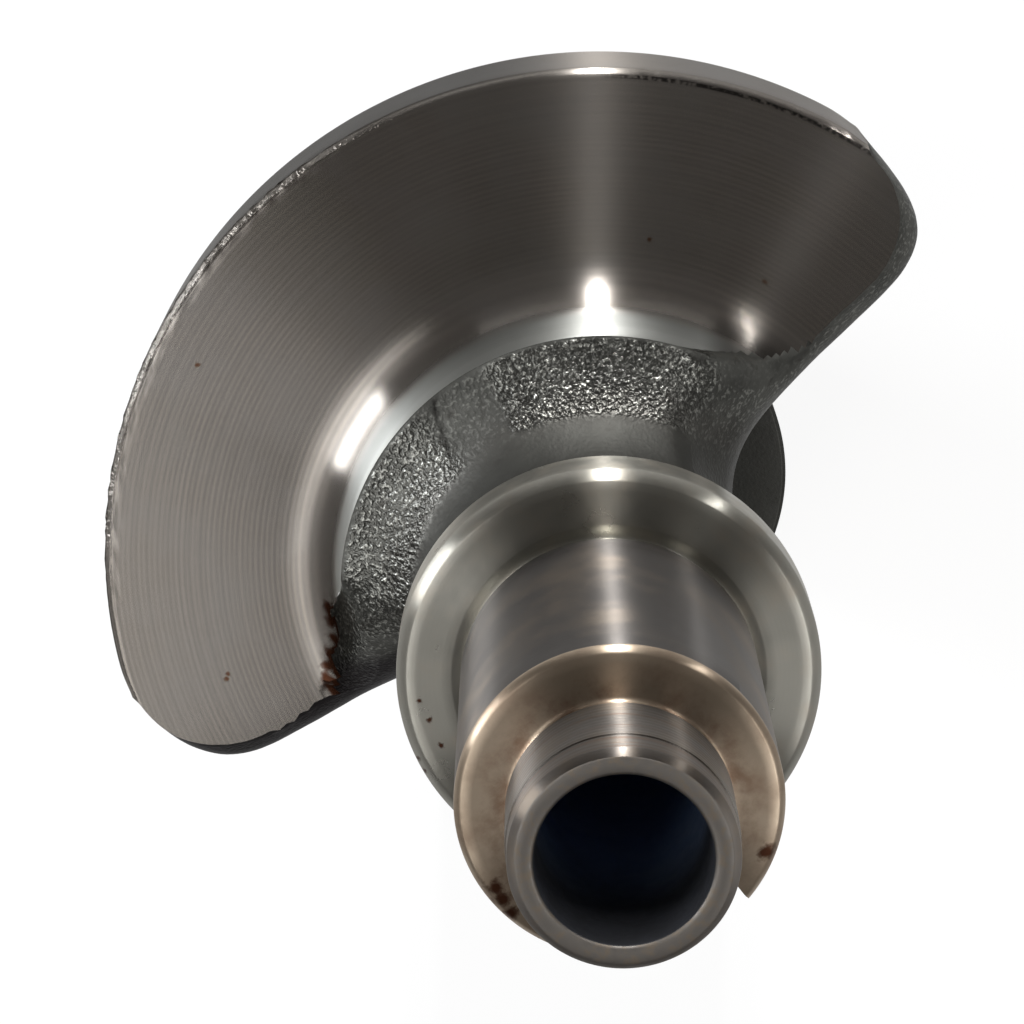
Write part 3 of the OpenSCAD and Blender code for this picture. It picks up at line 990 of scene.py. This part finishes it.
def forged_skin_tree(materials):
    """Geometry nodes that round the forged edges, raise the grain and hand out the finishes."""
    group = bpy.data.node_groups.new("forged_skin", "GeometryNodeTree")
    face = group.interface
    face.new_socket("Geometry", in_out="INPUT", socket_type="NodeSocketGeometry")
    for name, (kind, _) in SKIN_INPUTS.items():
        face.new_socket(name, in_out="INPUT", socket_type=kind)
    face.new_socket("Geometry", in_out="OUTPUT", socket_type="NodeSocketGeometry")
    t = Tree(group)
    given = t.node("NodeGroupInput").outputs
    place = t.node("GeometryNodeInputPosition")

    def stored(name, kind="FLOAT"):
        return t.node("GeometryNodeInputNamedAttribute", {"data_type": kind}, name=name)

    def relief(kind, detail, strength):
        noise = t.node(
            "ShaderNodeTexNoise",
            {"noise_dimensions": "4D"},
            Vector=place,
            W=given["Seed"],
            Scale=t.math("DIVIDE", 1.0, given[f"{kind} size"]),
            Detail=detail,
            Roughness=RELIEF_ROUGHNESS,
        )
        centred = t.math("SUBTRACT", noise.outputs[0], 0.5)
        return t.times(t.times(centred, given[f"{kind} depth"]), strength)

    blurred = t.node(
        "GeometryNodeBlurAttribute",
        {"data_type": "FLOAT_VECTOR"},
        value=place,
        iterations=given["Rounding"],
        weight=stored("rounding"),
    )
    rounded = t.node("GeometryNodeSetPosition", Geometry=given["Geometry"], Position=blurred)
    swell = relief("Swell", SWELL_DETAIL, stored("forged"))
    rough = relief("Grain", GRAIN_DETAIL, stored("grain"))
    raised = t.vector("SCALE", t.node("GeometryNodeInputNormal"))
    t.put(raised.node, "Scale", t.math("ADD", swell, rough))
    moved = t.node("GeometryNodeSetPosition", Geometry=rounded, Offset=raised)
    geometry = t.node("GeometryNodeRealizeInstances", Geometry=moved)
    finish = stored("finish", "INT")
    equal = {"data_type": "INT", "operation": "EQUAL"}
    for number, material in enumerate(materials):
        chosen = t.node("FunctionNodeCompare", equal, A=finish, B=number)
        geometry = t.node(
            "GeometryNodeSetMaterial", Geometry=geometry, Selection=chosen, Material=material
        )
    t.node("NodeGroupOutput", Geometry=geometry)
    return group


def crisp_borders(mesh):
    """Makes each edge between a machined face and a forged one sharp."""
    work = bmesh.new()
    work.from_mesh(mesh)
    finish = work.faces.layers.int["finish"]
    for edge in work.edges:
        first, second = (face[finish] == FORGED for face in edge.link_faces)
        edge.smooth = edge.smooth and first == second
    work.to_mesh(mesh)
    work.free()


def settle(piece):
    """Makes what a piece's modifiers give its own plain mesh."""
    evaluated = piece.evaluated_get(bpy.context.evaluated_depsgraph_get())
    piece.data = bpy.data.meshes.new_from_object(evaluated)
    piece.data.name = PIECE
    piece.modifiers.clear()


def with_relief(mesh, group, skin):
    """Runs the forged skin tree on the mesh, evens its normals, and returns a plain object."""
    piece = bpy.data.objects.new(PIECE, mesh)
    bpy.context.scene.collection.objects.link(piece)
    modifier = piece.modifiers.new("forged_skin", "NODES")
    modifier.node_group = group
    for item in group.interface.items_tree:
        if item.name in SKIN_INPUTS:
            modifier[item.identifier] = getattr(skin, SKIN_INPUTS[item.name][1])
    settle(piece)
    piece.data.set_sharp_from_angle(angle=SHARP_EDGE)
    crisp_borders(piece.data)
    even = piece.modifiers.new("even_normals", "WEIGHTED_NORMAL")
    even.keep_sharp = True
    settle(piece)
    return piece


# Finishes


class Finish(Tree):
    """A steel finish: its own material, with the coordinates that its marks follow."""

    def __init__(self, name):
        self.material = bpy.data.materials.new(name)
        self.material.use_nodes = True
        super().__init__(self.material.node_tree)
        self.shader = self.node("ShaderNodeBsdfPrincipled", Metallic=1.0)
        output = self.node("ShaderNodeOutputMaterial")
        self.put(output, "Surface", self.shader)
        self.place = self.node("ShaderNodeTexCoord").outputs["Object"]
        parts = self.node("ShaderNodeSeparateXYZ", Vector=self.place).outputs
        flat = self.node("ShaderNodeCombineXYZ", X=parts[0], Y=parts[1])
        self.radius = self.vector("LENGTH", flat)
        self.height = parts[2]
        self.meridian = self.math("ADD", self.radius, self.height)

    def lay_along_turning(self, strength):
        """Stretches the gloss across the marks that a tool leaves round the axis."""
        around = self.vector("CROSS_PRODUCT", (0.0, 0.0, 1.0), self.place)
        self.put(self.shader, "Tangent", self.vector("NORMALIZE", around))
        self.put(self.shader, "Anisotropic", strength)
        self.put(self.shader, "Anisotropic Rotation", 0.25)

    def noise(self, size_mm, detail=3.0, roughness=0.6):
        """Cloudy marks of a size."""
        made = self.node(
            "ShaderNodeTexNoise",
            Vector=self.place,
            Scale=1 / (size_mm * MM),
            Detail=detail,
            Roughness=roughness,
        )
        return made.outputs[0]

    def rings(self, size_mm):
        """Random marks that run round the axis."""
        made = self.node(
            "ShaderNodeTexNoise",
            {"noise_dimensions": "1D"},
            W=self.meridian,
            Scale=1 / (size_mm * MM),
            Detail=2.0,
            Roughness=0.7,
        )
        return made.outputs[0]

    def feed(self, pitch_mm):
        """Even marks of a tool's feed, as a wave from 0 to 1."""
        phase = self.times(self.meridian, 2 * math.pi / (pitch_mm * MM))
        return self.math("MULTIPLY_ADD", self.math("SINE", phase), 0.5, third=0.5)

    def sector(self, degrees, low, high):
        """1 near a bearing and 0 away from it, between two cosines of the angle from it."""
        way = math.sin(math.radians(degrees)), math.cos(math.radians(degrees)), 0.0
        cosine = self.math("DIVIDE", self.vector("DOT_PRODUCT", self.place, way), self.radius)
        return self.remap(cosine, low, high)

    def remap(self, value, low, high, to_low=0.0, to_high=1.0):
        """A smooth step from to_low at low to to_high at high."""
        made = self.node(
            "ShaderNodeMapRange",
            {"interpolation_type": "SMOOTHSTEP"},
            Value=value,
            From_Min=low,
            From_Max=high,
            To_Min=to_low,
            To_Max=to_high,
        )
        return made.outputs[0]

    def past(self, value, border, start_mm, stop_mm):
        """0 short of a border and 1 past it, with a smooth step between two distances from it."""
        return self.remap(value, border + start_mm * MM, border + stop_mm * MM)

    def short_of(self, value, border, start_mm, stop_mm):
        """1 short of a border and 0 past it, with a smooth step between two distances from it."""
        return self.remap(value, border + start_mm * MM, border + stop_mm * MM, 1.0, 0.0)

    def blend(self, part, first, second):
        """A colour between two others."""
        made = self.node("ShaderNodeMix", {"data_type": "RGBA"})
        sockets = [s for s in made.inputs if s.enabled]
        for socket, value in zip(sockets, (part, first, second)):
            if isinstance(value, bpy.types.NodeSocket):
                self.tree.links.new(value, socket)
            elif hasattr(value, "__len__"):
                socket.default_value = (*value[:3], 1.0)
            else:
                socket.default_value = value
        return self.out(made)

    def skin(self, name):
        """A value that the mesh holds at each of its points."""
        return self.node("ShaderNodeAttribute", {"attribute_name": name}).outputs["Fac"]

    def spots(self, places, size_mm):
        """Where a few stains lie: 1 in their middle, 0 outside."""
        total = None
        rough = self.noise(0.9 * size_mm, 3.0)
        for place in places:
            away = self.vector("DISTANCE", self.place, Vector(place) * MM)
            uneven = self.times(away, self.remap(rough, 0.3, 0.7, 0.65, 1.4))
            spot = self.remap(uneven, 0.25 * size_mm * MM, size_mm * MM, 1.0, 0.0)
            total = spot if total is None else self.math("MAXIMUM", total, spot)
        return total

    def bump(self, height, depth_mm, strength=1.0, under=None):
        """A normal that follows fine marks, over another normal where one is given."""
        made = self.node("ShaderNodeBump", Height=height, Strength=strength, Distance=depth_mm * MM)
        if under:
            self.put(made, "Normal", under)
        return self.out(made)

    def set(self, **inputs):
        """Sets or links inputs of the shader, and returns the finished material."""
        for name, value in inputs.items():
            self.put(self.shader, name.replace("_", " "), value)
        return self.material


# Tint of the steel's dull finishes at grazing angles
GRAZING_TINT = (0.5, 0.5, 0.5, 1.0)

# Places of the stains, in millimetres from the middle of the rear end
FACE_STAINS = (
    (-27.6, 10.3, 49.2),
    (-27.9, 10.1, 49.2),
    (-14.3, 30.4, 49.2),
    (22.7, 9.7, 49.2),
    (17.9, 17.4, 49.2),
)
TORN_STAINS = (
    (-18.0, 10.1, 50.3),
    (-18.5, 9.0, 50.4),
    (-19.2, 7.8, 50.3),
    (-20.2, 7.0, 49.8),
    (-21.0, 6.2, 49.5),
    (-21.9, 5.5, 49.3),
)
COLLAR_STAINS = (
    (-13.9, 3.2, 76.8),
    (-13.9, 2.2, 76.7),
    (-11.1, 6.5, 77.3),
    (-11.4, 5.0, 77.3),
    (-11.9, 3.1, 77.3),
)
SHOULDER_STAINS = (
    (-9.1, 0.4, 102.6),
    (-9.25, -0.5, 102.6),
    (-9.4, -1.5, 102.6),
    (5.2, -7.8, 102.6),
)


def shade(colour, part):
    """A part of a colour's brightness."""
    return [part * value for value in colour]


def landmarks(settings):
    """Radii and heights that the finishes follow."""
    t, f = settings.turned, settings.forged
    h = heights(t, f)
    return SimpleNamespace(
        rim=f.rim_r,
        boss=f.boss_r,
        neck=f.neck_r,
        spigot=t.spigot_r,
        face=h.web + h.face,
        rear_neck=h.rear_neck,
        front=h.front,
    )


def turned_steel(settings):
    """Turned face, fillet and rim: rings round the axis, a faint oil film, a chipped edge and stains."""
    c = settings.colours
    at = landmarks(settings)
    m = Finish("turned_steel")
    m.lay_along_turning(1.0)
    feed = m.feed(0.4)
    fine = m.rings(0.5)
    film = m.noise(9, 4.0)
    dark = shade(c.turned, 0.6)
    colour = m.blend(m.remap(film, 0.1, 0.9, 0.0, 0.4), c.turned, shade(c.tan, 0.75))
    colour = m.blend(m.remap(fine, 0.35, 0.65, 0.0, 0.14), colour, dark)
    colour = m.blend(m.times(feed, m.remap(film, 0.35, 0.65, 0.1, 0.42)), colour, dark)

    # Stains, and rust where the tool tore the left edge
    colour = m.blend(m.spots(FACE_STAINS, 0.26), colour, c.brown)
    colour = m.blend(m.spots(TORN_STAINS, 0.8), colour, c.rust)
    torn = m.times(m.skin("forged"), m.sector(-70, 0.96, 0.98))
    colour = m.blend(m.remap(torn, 0.05, 0.4), colour, c.rust)

    # Coarser ring at the foot of the boss, lightened by a painted reflection
    foot = m.times(m.short_of(m.radius, at.boss, 0.3, 1.1), m.past(m.height, at.face, 0.3, 0.8))
    colour = m.blend(m.times(foot, 0.9), colour, c.foot)
    # Darker steel at the right end of the fillet, which dims its glint there
    dark_fillet_end = m.times(m.short_of(m.radius, at.boss, 0.9, 3.5), m.sector(77, 0.95, 0.985))
    colour = m.blend(m.times(dark_fillet_end, 0.85), colour, c.pits)

    # Painted shade on the rim around a bearing of -20 degrees, standing in for a dark reflection, and the
    # grit in its chipped edge
    rim = m.times(m.past(m.radius, at.rim, -0.2, -0.05), m.sector(-20, 0.5, 0.75))
    colour = m.blend(m.times(rim, 0.75), colour, c.pits)
    edge = m.times(m.past(m.radius, at.rim, -0.65, -0.35), m.past(m.height, at.face, -0.6, -0.3))
    left = m.times(edge, m.sector(-22, 0.76, 0.9))
    ring = m.times(m.past(m.radius, at.rim, -0.8, -0.68), m.short_of(m.radius, at.rim, -0.5, -0.4))
    right = m.times(ring, m.sector(62, 0.9, 0.94))
    grit = m.noise(0.4, 2.0)
    colour = m.blend(m.times(right, m.remap(grit, 0.35, 0.55)), colour, c.pits)

    rough = m.math("ADD", m.remap(film, 0.1, 0.9, 0.22, 0.25), m.times(left, 0.05))
    rough = m.math("ADD", rough, m.times(foot, 0.3))
    chips = m.bump(m.times(grit, left), 0.16, under=m.bump(feed, 0.0012))
    return m.set(Base_Color=colour, Roughness=rough, Normal=chips, Specular_Tint=GRAZING_TINT)


def ground_steel(settings):
    """Ground journals: very fine lines round the axis, with a soft sheen."""
    c = settings.colours
    m = Finish("ground_steel")
    m.lay_along_turning(1.0)
    film = m.noise(6, 4.0)
    colour = m.blend(m.remap(film, 0.4, 0.8, 0.0, 0.4), c.ground, shade(c.tan, 0.8))
    rough = m.remap(film, 0.3, 0.7, 0.35, 0.4)
    return m.set(Base_Color=colour, Roughness=rough, Normal=m.bump(m.rings(0.3), 0.002))


def collar_steel(settings):
    """Collars: a smooth turned face, bright chamfers, stains and nicks."""
    c = settings.colours
    m = Finish("collar_steel")
    m.lay_along_turning(0.95)
    film = m.noise(3.5, 4.0)
    colour = m.blend(m.remap(film, 0.45, 0.75, 0.0, 0.3), c.collar, c.tan)
    colour = m.blend(m.spots(COLLAR_STAINS, 0.28), colour, c.rust)
    rough = m.remap(film, 0.3, 0.7, 0.27, 0.34)
    return m.set(Base_Color=colour, Roughness=rough, Normal=m.bump(m.feed(0.3), 0.0006))


def forged_skin(settings):
    """Shot-blasted skin: pitted grain, bright crests, a smoother neck, painted shade by the collars."""
    c = settings.colours
    at = landmarks(settings)
    m = Finish("forged_skin")
    grain = m.skin("grain")
    fine = m.noise(0.3, 1.5, 0.5)
    broad = m.noise(3.0, 4.0)
    colour = m.blend(m.remap(broad, 0.35, 0.7), c.forged, shade(c.forged, 0.65))
    colour = m.blend(m.remap(m.noise(1.1), 0.55, 0.75, 0.0, 0.6), colour, c.pits)
    crest = m.times(m.remap(fine, 0.52, 0.68), grain)
    colour = m.blend(crest, colour, shade(c.forged, 3.2))

    # Painted shade towards the neck, where the collar's shadow falls, and at the rear collar; a darker
    # parting line
    hollow = m.short_of(m.radius, at.neck, 3.25, 6.25)
    colour = m.blend(m.times(hollow, 0.5), colour, c.pits)
    # More painted shade close to the neck
    low = m.short_of(m.radius, at.neck, 1.75, 3.45)
    colour = m.blend(m.times(low, 0.6), colour, shade(c.forged, 0.5))
    line = m.times(m.skin("seam"), m.remap(broad, 0.4, 0.6, 0.4, 0.9))
    colour = m.blend(line, colour, shade(c.pits, 0.3))
    # Painted shade at the rear collar
    rear = m.short_of(m.height, at.rear_neck, 0.75, 1.75)
    colour = m.blend(m.times(rear, 0.6), colour, shade(c.forged, 0.45))

    # Black scale on the left flat
    left = m.times(m.past(m.radius, at.neck, 2.75, 5.75), m.sector(-90, 0.93, 0.97))
    colour = m.blend(m.times(left, 0.9), colour, c.scale)

    rough = m.remap(grain, 0.1, 0.8, 0.55, 0.28)
    depth = m.times(fine, m.remap(grain, 0.0, 1.0, 0.12, 1.0))
    marks = m.bump(depth, 0.16)
    return m.set(Base_Color=colour, Roughness=rough, Normal=marks, Specular_Tint=GRAZING_TINT)


def spigot_steel(settings):
    """Spigot: bright turned ridges, with brown oil in their roots."""
    c = settings.colours
    m = Finish("spigot_steel")
    m.lay_along_turning(1.0)
    fine = m.rings(0.5)
    film = m.noise(2.6, 4.0)
    colour = m.blend(m.remap(film, 0.42, 0.75, 0.0, 0.55), c.spigot, shade(c.tan, 0.6))
    colour = m.blend(m.remap(fine, 0.3, 0.5, 0.45, 0.0), colour, c.brown)
    rough = m.remap(film, 0.3, 0.7, 0.36, 0.44)
    return m.set(Base_Color=colour, Roughness=rough, Normal=m.bump(fine, 0.006, 0.8))


def bore_steel(settings):
    """Bore: a dark oil film over drilled steel, with a brighter blue painted light at its end."""
    c = settings.colours
    at = landmarks(settings)
    m = Finish("bore_steel")
    film = m.noise(3, 4.0)
    colour = m.blend(m.remap(film, 0.35, 0.7), c.bore, shade(c.bore, 0.5))
    # Painted light: the brighter blue deep in the bore
    colour = m.blend(m.short_of(m.height, at.front, -16, -5), colour, c.painted_deep_bore_light)
    rough = m.remap(film, 0.3, 0.7, 0.35, 0.55)
    marks = m.bump(m.rings(0.8), 0.02, 0.5)
    return m.set(Metallic=0.3, Base_Color=colour, Roughness=rough, Normal=marks)


def shoulder_steel(settings):
    """Shoulder: turned steel under a tan film of dried oil, with rust at its edge."""
    c = settings.colours
    at = landmarks(settings)
    m = Finish("shoulder_steel")
    m.lay_along_turning(0.85)
    film = m.noise(2.4, 5.0)
    # Darker brown near the spigot: dried oil, deepened by a painted shadow of the spigot
    inner = m.short_of(m.radius, at.spigot, 0.1, 2.5)
    oil_and_spigot_shade = m.times(m.remap(film, 0.35, 0.7), m.math("ADD", 0.35, m.times(inner, 0.5)))
    colour = m.blend(oil_and_spigot_shade, c.tan, c.brown)
    colour = m.blend(m.spots(SHOULDER_STAINS, 0.75), colour, c.rust)
    rough = m.remap(film, 0.3, 0.7, 0.3, 0.38)
    return m.set(Base_Color=colour, Roughness=rough, Normal=m.bump(film, 0.01, 0.4))


def lip_steel(settings):
    """End of the spigot: plain grey steel, speckled with dried oil."""
    c = settings.colours
    m = Finish("lip_steel")
    film = m.noise(0.6)
    colour = m.blend(m.remap(film, 0.45, 0.7, 0.0, 0.7), c.spigot, shade(c.tan, 0.5))
    rough = m.remap(film, 0.3, 0.7, 0.48, 0.58)
    return m.set(Base_Color=colour, Roughness=rough, Normal=m.bump(film, 0.01, 0.4))


# Makers of the finishes, in the order of their numbers
MAKERS = (
    turned_steel,
    ground_steel,
    collar_steel,
    forged_skin,
    spigot_steel,
    bore_steel,
    shoulder_steel,
    lip_steel,
)


# Operators


class BALANCE_SHAFT_OT_forging(bpy.types.Operator):
    """Model the forging with its turned surfaces, and give each surface its finish"""

    bl_idname = "balance_shaft.forging"
    bl_label = "Forging"

    def execute(self, context):
        settings = context.scene.balance_shaft
        materials = [make(settings) for make in MAKERS]
        mesh = plain_mesh(forging_mesh(settings))
        piece = with_relief(mesh, forged_skin_tree(materials), settings.skin)
        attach(piece, "root")
        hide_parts(NODE)
        return {"FINISHED"}


def pale_floor(stage):
    """A matt floor that the camera and the steel see nearly white, with the shadow left on it."""
    material = bpy.data.materials.new("pale_floor")
    material.use_nodes = True
    t = Tree(material.node_tree)
    matt = t.node("ShaderNodeBsdfPrincipled", Roughness=0.9)
    t.put(matt, "Base Color", (*stage.floor_tone, 1.0))
    white = t.node("ShaderNodeEmission", Strength=1.0)
    ray = t.node("ShaderNodeLightPath").outputs
    seen = t.math("MAXIMUM", ray["Is Camera Ray"], ray["Is Glossy Ray"])
    seen = t.math("MAXIMUM", seen, ray["Is Transmission Ray"])
    mixed = t.node("ShaderNodeMixShader")
    t.put(mixed, 0, t.times(seen, stage.floor_white))
    t.put(mixed, 1, matt)
    t.put(mixed, 2, white)
    t.node("ShaderNodeOutputMaterial", Surface=mixed)
    return material


# Lamps: bearing from +Y and lean from upright in degrees, width and depth in metres, watts, and colour
WHITE = (1.0, 1.0, 1.0)
PALE_BLUE = (0.93, 0.96, 1.0)
LAMPS = {
    "panel_lamp": (-65, 32, 0.72, 0.35, 2.7, WHITE),
    "right_lamp": (148, 38, 0.45, 0.3, 2.2, WHITE),
    "strip_lamp": (38.5, 77, 0.02, 0.56, 8.5, WHITE),
    "left_lamp": (-36, 70, 0.27, 0.27, 4.6, PALE_BLUE),
    "thin_lamp": (80, 64, 0.01, 0.6, 1.1, WHITE),
    "low_lamp": (38, 83, 1.0, 0.05, 0.5, WHITE),
}
LAMP_DISTANCE = 0.8
SENSOR_MM = 36.0
CLIP_START = 0.01


def lamp(name, aim, bearing, lean, width, depth, power, colour):
    """A soft rectangular lamp that looks at a point."""
    light = bpy.data.lights.new(name, "AREA")
    light.shape = "RECTANGLE"
    light.size = width
    light.size_y = depth
    light.energy = power
    light.color = colour
    made = bpy.data.objects.new(name, light)
    bpy.context.scene.collection.objects.link(made)
    b, a = math.radians(bearing), math.radians(lean)
    way = Vector((math.sin(b) * math.sin(a), math.cos(b) * math.sin(a), math.cos(a)))
    made.location = aim + way * LAMP_DISTANCE
    made.rotation_mode = "QUATERNION"
    made.rotation_quaternion = (-way).to_track_quat("-Z", "Y")


class BALANCE_SHAFT_OT_stage(bpy.types.Operator):
    """Set the floor, the lamps and the camera"""

    bl_idname = "balance_shaft.stage"
    bl_label = "Stage"

    def execute(self, context):
        stage = context.scene.balance_shaft.stage
        scene = context.scene
        scene.view_settings.view_transform = "Standard"
        half = stage.floor_size / 2
        mesh = bpy.data.meshes.new("floor")
        corners = [(-half, -half, 0), (half, -half, 0), (half, half, 0), (-half, half, 0)]
        mesh.from_pydata(corners, [], [(0, 1, 2, 3)])
        floor = bpy.data.objects.new("floor", mesh)
        scene.collection.objects.link(floor)
        mesh.materials.append(pale_floor(stage))

        world = bpy.data.worlds.new("studio")
        world.use_nodes = True
        world.node_tree.nodes["Background"].inputs["Color"].default_value = (*stage.world_tone, 1.0)
        scene.world = world

        aim = (CAD_BOX[0] + CAD_BOX[1]) / 2
        for name, values in LAMPS.items():
            lamp(name, aim, *values)

        data = bpy.data.cameras.new("camera")
        data.lens = stage.lens_mm
        data.sensor_width = SENSOR_MM
        data.clip_start = CLIP_START
        camera = bpy.data.objects.new("camera", data)
        scene.collection.objects.link(camera)
        right, up = Vector(stage.camera_right), Vector(stage.camera_up)
        turn = Matrix((right, up, right.cross(up))).transposed()
        camera.matrix_world = Matrix.Translation(stage.camera_place) @ turn.to_4x4()
        scene.camera = camera
        return {"FINISHED"}


class BALANCE_SHAFT_PT_panel(bpy.types.Panel):
    """Lists the sizes and the steps of the balance shaft"""

    bl_idname = "BALANCE_SHAFT_PT_panel"
    bl_label = "Balance shaft"
    bl_space_type = "VIEW_3D"
    bl_region_type = "UI"
    bl_category = "Balance shaft"

    def draw(self, context):
        settings = context.scene.balance_shaft
        for name in ("turned", "forged", "skin", "colours", "stage"):
            group = getattr(settings, name)
            box = self.layout.box()
            box.label(text=name.capitalize())
            for prop in group.__annotations__:
                box.prop(group, prop)
        self.layout.operator(BALANCE_SHAFT_OT_forging.bl_idname)
        self.layout.operator(BALANCE_SHAFT_OT_stage.bl_idname)


CLASSES = (
    TurnedSizes,
    ForgedSizes,
    SkinRelief,
    FinishColours,
    StageSizes,
    ShaftSettings,
    BALANCE_SHAFT_OT_forging,
    BALANCE_SHAFT_OT_stage,
    BALANCE_SHAFT_PT_panel,
)


def register():
    for item in CLASSES:
        bpy.utils.register_class(item)
    bpy.types.Scene.balance_shaft = PointerProperty(type=ShaftSettings)


def unregister():
    del bpy.types.Scene.balance_shaft
    for item in reversed(CLASSES):
        bpy.utils.unregister_class(item)


def main():
    register()
    bpy.ops.balance_shaft.forging()
    bpy.ops.balance_shaft.stage()


if __name__ == "__main__":
    main()
